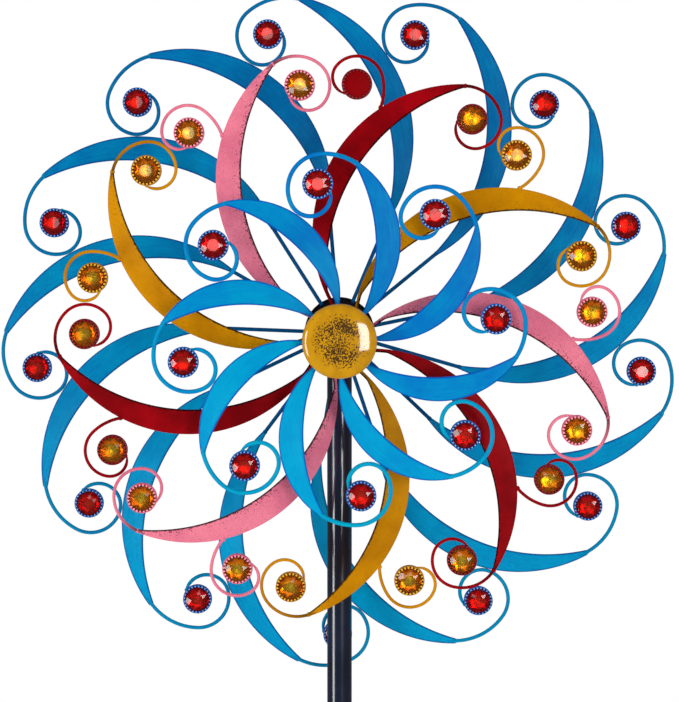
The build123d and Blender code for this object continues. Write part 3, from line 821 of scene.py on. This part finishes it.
def make_plain_disc():
    """A thin painted disc with a softly domed face and a rolled rim."""
    draft = Draft()
    gem = side_gem_place()
    place = station(MIDDLE, PLAIN_DISC_BLADE) @ Matrix.Translation(gem)
    rim = arc_points((11.3, 2.2), 0.7, 0.0, 90.0, 5)
    outline = [(0.5, -1.3), (12.0, -1.3)] + rim + [(9.0, 3.05), (5.0, 3.25), (0.5, 3.3)]
    lathe(draft, outline, place, looped=False)
    draft.piece("painted_disc", "middle_rotor", "disc_paint", disc_red, "plain_disc")


def make_rods():
    """Straight rods from the rear hub to its blades."""
    draft = Draft()
    root = end_middle(REAR, REAR.root_ray)
    inner_radius, spacing = 9.0, 6.0
    inner = root.normalized() * inner_radius
    count = ceil((root - inner).length / spacing)
    path = [inner.lerp(root, k / count) for k in range(count + 1)]
    for index in range(REAR.blades):
        place = station(REAR, index)
        tube(draft, path, [REAR.stem / 2.0] * len(path), place)
        bead(draft, root, (2.2, 2.2, 1.7), place, index)
    draft.piece("rear_spoke_rods", "rear_rotor", "navy_paint", rod_blue, "rear_rods")


# ---- caps, pole and stake --------------------------------------------------------------------------
def cap_outline():
    """Half section of a pressed cap, from its rim, over the crown and back inside."""
    centre, reach, rise = (24.5, 7.0), 7.5, 5.4
    turns = [radians(8.0 * k) for k in range(9)]
    corner = [(centre[0] + reach * cos(turn), centre[1] + rise * sin(turn)) for turn in turns]
    edge, top, crown, power, bands = 26.0, 12.35, 3.1, 2.6, 12
    outward = [1.0 - k / bands for k in range(bands + 1)]
    dome = [(edge * share + 0.4, top + crown * (1.0 - share ** power)) for share in outward]
    inside = [(0.4, 14.4), (12.0, 13.6), (24.0, 11.4), (30.4, 7.5), (31.0, 0.4)]
    return [(32.0, 0.4)] + corner + dome + inside


def make_cap(name, body, slot, material, facing):
    """A cap on its flange. It faces -y, the front, or +y."""
    draft = Draft()
    low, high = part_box(name)
    back = high.y if facing < 0 else low.y
    place = on_axle(back) @ Matrix.Rotation(0.0 if facing < 0 else pi, 4, "X")
    lathe(draft, cap_outline(), place, sides=CAP_SIDES)
    draft.piece(f"{name}.pressing", body, slot, material, name)


def make_pole():
    """Three lengths of tube, each drawn from its visible foot, with a softened lip at both ends."""
    lip, count = 0.5, 24
    for node in ("lower_pole", "middle_pole", "upper_pole"):
        low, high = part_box(node)
        radius = (high.x - low.x) / 2.0 / MM
        foot = low.z / MM + (0.0 if node == "lower_pole" else SPIGOT_LENGTH)
        top = high.z / MM
        draft = Draft()
        outline = [(radius - POLE_WALL, foot), (radius - lip, foot), (radius, foot + lip)]
        outline += [(radius, mix(foot + lip, top - lip, k / count)) for k in range(1, count)]
        outline += [(radius, top - lip), (radius - lip, top), (radius - POLE_WALL, top)]
        lathe(draft, outline, Matrix.Scale(MM, 4))
        draft.piece(f"{node}.tube", "pole", "pole_paint", navy_gloss, node)


def prong_path():
    """A prong's line in its own upright plane: out from the socket, round a bend and down."""
    root, spacing, steps = 12.4, 3.0, 16
    bend_start, bend_end = PRONG_CIRCLE_RADIUS - PRONG_BEND, PRONG_SHOULDER - PRONG_BEND
    path = [Vector((root + spacing * k, PRONG_SHOULDER, 0.0)) for k in range(7)]
    path += [Vector((x, y, 0.0)) for x, y in arc_points((bend_start, bend_end), PRONG_BEND, 90.0, 0.0, 10)]
    heights = [mix(bend_end, -PRONG_DEPTH, k / steps) for k in range(1, steps + 1)]
    return path + [Vector((PRONG_CIRCLE_RADIUS, height, 0.0)) for height in heights]


def prong_radius(height):
    """A prong's radius, which shrinks to a blunt point at its foot."""
    above_foot = height + PRONG_DEPTH
    if above_foot > PRONG_POINT:
        return PRONG_RADIUS
    return mix(0.4, PRONG_RADIUS, above_foot / PRONG_POINT)


def make_stake():
    """A socket tube with a closed foot, and four prongs welded round it."""
    draft = Draft()
    bore, foot, rim, floor, chamfer = 11.25, -63.0, 90.0, -60.0, 0.8
    outline = [(0.5, foot), (SOCKET_RADIUS - chamfer, foot), (SOCKET_RADIUS, foot + chamfer)]
    outline += [(SOCKET_RADIUS, rim - chamfer), (SOCKET_RADIUS - 0.6, rim), (bore, rim), (bore, floor)]
    outline += [(0.5, floor)]
    lathe(draft, outline, Matrix.Scale(MM, 4), looped=False)
    path = prong_path()
    radii = [prong_radius(point.y) for point in path]
    upright = Matrix.Rotation(radians(90.0), 4, "X")
    for k in range(PRONGS):
        turn = Matrix.Rotation(radians(45.0 + k * 360.0 / PRONGS), 4, "Z")
        place = turn @ upright @ Matrix.Scale(MM, 4)
        tube(draft, path, radii, place)
        bead(draft, (SOCKET_RADIUS + 0.4, PRONG_SHOULDER, 0.0), (1.8, 5.0, 5.0), place, k)
    draft.piece("pronged_stake", "pole", "stake_paint", stake_black, "ground_stake")


def repaint_cad():
    """Better materials for the CAD nodes whose shape is right as it is."""
    finishes = {"axle": zinc, "axle_nuts": zinc, "axle_washers": zinc, "axle_spacers": zinc}
    finishes["pole_cap"] = black_plastic
    for rotor in (FRONT, MIDDLE, REAR):
        finishes[f"{rotor.name}_hub"] = black_gloss
        finishes[f"{rotor.name}_bushes"] = nylon
    for node, material in finishes.items():
        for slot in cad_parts[node].material_slots:
            slot.link = "OBJECT"
            slot.material = material


# ---- floor, light and camera ------------------------------------------------------------------------
def make_floor():
    """A pale disc under the prongs that fades into the white surround."""
    radius, sides, rings = 4.0, 96, 24
    height = cad_low.z - 0.001
    angles = [2.0 * pi * k / sides for k in range(sides)]
    reaches = [radius * ring / rings for ring in range(1, rings + 1)]
    points = [(reach * cos(a), reach * sin(a), height) for reach in reaches for a in angles]
    faces = [tuple(range(sides))]
    for ring in range(rings - 1):
        for k in range(sides):
            here, after = ring * sides + k, ring * sides + (k + 1) % sides
            faces.append((here, after, after + sides, here + sides))
    mesh = bpy.data.meshes.new("floor")
    mesh.from_pydata(points, [], faces)
    finish = Finish("floor_white", roughness=0.75)
    grain = finish.noise(finish.place(), 9.0, 3.0, 0.6)
    finish.colour(finish.blend(grain, srgb(246, 246, 247), srgb(240, 240, 242)))
    length = finish.node("VectorMath", {0: finish.place()}, operation="LENGTH").outputs["Value"]
    glow = finish.node("Emission", {"Color": (1.0, 1.0, 1.0, 1.0), "Strength": 1.0})
    share = finish.span(length, 0.4, 3.2)
    both = finish.node("MixShader", {0: share, 1: finish.shader.outputs[0], 2: glow.outputs[0]})
    finish.tree.links.new(both.outputs[0], finish.tree.nodes["Material Output"].inputs["Surface"])
    mesh.materials.append(finish.material)
    floor = bpy.data.objects.new("floor", mesh)
    bpy.context.scene.collection.objects.link(floor)
    floor.visible_glossy = False


def make_world():
    """White to the camera, a dark room to reflections, and a soft glow to everything else."""
    world = bpy.data.worlds.new("studio")
    world.use_nodes = True
    bpy.context.scene.world = world
    tree = world.node_tree
    coords = tree.nodes.new("ShaderNodeTexCoord")
    split = tree.nodes.new("ShaderNodeSeparateXYZ")
    tree.links.new(coords.outputs["Generated"], split.inputs[0])
    ramp = tree.nodes.new("ShaderNodeMapRange")
    for socket, value in enumerate((-0.8, 0.8, 0.55, 0.32), start=1):
        ramp.inputs[socket].default_value = value
    tree.links.new(split.outputs["Z"], ramp.inputs[0])
    glow = tree.nodes["Background"]
    glow.inputs["Color"].default_value = (0.95, 0.97, 1.0, 1.0)
    tree.links.new(ramp.outputs[0], glow.inputs["Strength"])
    path = tree.nodes.new("ShaderNodeLightPath")
    shader = glow
    for ray, strength in (("Is Glossy Ray", 0.1), ("Is Camera Ray", 1.0)):
        room = tree.nodes.new("ShaderNodeBackground")
        room.inputs["Color"].default_value = (1.0, 1.0, 1.0, 1.0)
        room.inputs["Strength"].default_value = strength
        both = tree.nodes.new("ShaderNodeMixShader")
        tree.links.new(path.outputs[ray], both.inputs[0])
        tree.links.new(shader.outputs[0], both.inputs[1])
        tree.links.new(room.outputs[0], both.inputs[2])
        shader = both
    tree.links.new(shader.outputs[0], tree.nodes["World Output"].inputs["Surface"])


def softbox(name, location, size, energy, mirrored=True):
    """A rectangular lamp aimed at the wheels, which glossy surfaces may be kept from mirroring."""
    data = bpy.data.lights.new(name, "AREA")
    data.shape, data.size, data.size_y, data.energy = "RECTANGLE", *size, energy
    lamp = bpy.data.objects.new(name, data)
    lamp.location = location
    aim = Vector((0.0, 0.0, AXLE_HEIGHT)) - lamp.location
    lamp.rotation_euler = aim.to_track_quat("-Z", "Y").to_euler()
    lamp.visible_glossy = mirrored
    bpy.context.scene.collection.objects.link(lamp)
    return lamp


def make_lights():
    """Softboxes at the left, right, top and back, and one in front that lights only the stones."""
    softbox("left_softbox", (-2.15, -1.4, 1.15), (0.8, 1.6), 30.0)
    softbox("right_softbox", (1.15, -2.36, 1.5), (0.7, 1.3), 27.0)
    softbox("top_softbox", (0.2, -0.6, 3.4), (1.8, 1.2), 9.0, mirrored=False)
    softbox("back_softbox", (0.6, 2.6, 2.2), (1.6, 1.6), 36.0, mirrored=False)
    sparkle = softbox("stone_softbox", (-0.1, -2.3, 1.6), (0.95, 0.8), 6.0)
    glass = bpy.data.collections.new("stones_and_foils")
    for rotor in (FRONT, MIDDLE, REAR):
        glass.objects.link(bpy.data.objects[f"{rotor.name}_stones"])
        glass.objects.link(bpy.data.objects[f"{rotor.name}_stone_foils"])
    sparkle.light_linking.receiver_collection = glass


def make_camera():
    """Straight in front and a little above the hub, looking down at it."""
    distance, rise, drop = 1.9, radians(3.88), 0.0143
    data = bpy.data.cameras.new("camera")
    data.lens, data.sensor_width = 108.8, 36.0
    camera = bpy.data.objects.new("camera", data)
    aim = Vector((0.0, 0.0, AXLE_HEIGHT - drop))
    camera.location = aim + Vector((0.0, -cos(rise), sin(rise))) * distance
    camera.rotation_euler = (aim - camera.location).to_track_quat("-Z", "Y").to_euler()
    bpy.context.scene.collection.objects.link(camera)
    bpy.context.scene.camera = camera


make_camera()
make_blue_wheel(FRONT, front_blue, front_wire_blue, shaded_side=95.0)
make_middle_wheel()
make_plain_disc()
make_blue_wheel(REAR, rear_blue, rear_wire_blue, shaded_side=100.0)
make_rods()
make_cap("front_cap", "front_rotor", "gold_paint", gold, -1)
make_cap("rear_cap", "rear_rotor", "gold_paint", black_gloss, 1)
make_pole()
make_stake()
repaint_cad()
make_floor()
make_world()
make_lights()
bpy.context.scene.view_settings.view_transform = "Standard"
